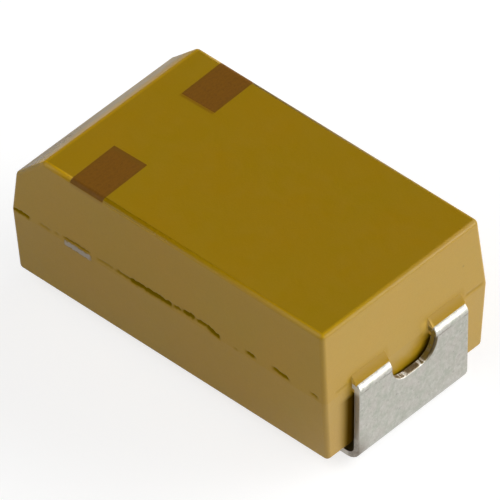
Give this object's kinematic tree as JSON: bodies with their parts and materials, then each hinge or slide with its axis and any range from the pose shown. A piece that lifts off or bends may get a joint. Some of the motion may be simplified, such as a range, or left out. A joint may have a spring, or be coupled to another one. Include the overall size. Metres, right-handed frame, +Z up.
{
  "type": "moulded tantalum chip capacitor",
  "caption": "Surface-mount capacitor: a moulded block with drafted sides and a bevelled polarity end, with a flat terminal folded down each end and under it.",
  "frame": {"origin": "on the seating plane, under the middle of the case", "axes": "+X along the case to the cathode end, which has no bevel; +Y across the case; +Z up from the board"},
  "size_m": [0.006, 0.0032, 0.0025],
  "materials": {
    "epoxy": "gold-ochre moulded epoxy, fine matt grain",
    "tinned_sheet": "matt tin plating, lightly mottled",
    "marking": "brown marked field in fine lines",
    "sintered_tantalum": "porous grey metal",
    "tantalum_wire": "drawn wire",
    "washer": "white insulating plastic",
    "manganese_dioxide": "dull black oxide",
    "graphite": "dark grey, slightly sheened",
    "silver_paint": "matt silver paint",
    "silver_glue": "matt silver-filled glue"
  },
  "bodies": {
    "root": {"moulded_case": "epoxy", "cathode_terminal": "tinned_sheet", "anode_terminal": "tinned_sheet", "polarity_marks": "marking", "tantalum_pellet": "sintered_tantalum", "riser_wire": "tantalum_wire", "insulating_washer": "washer", "manganese_dioxide_layer": "manganese_dioxide", "graphite_layer": "graphite", "silver_layer": "silver_paint", "silver_adhesive": "silver_glue"}
  },
  "joints": []
}
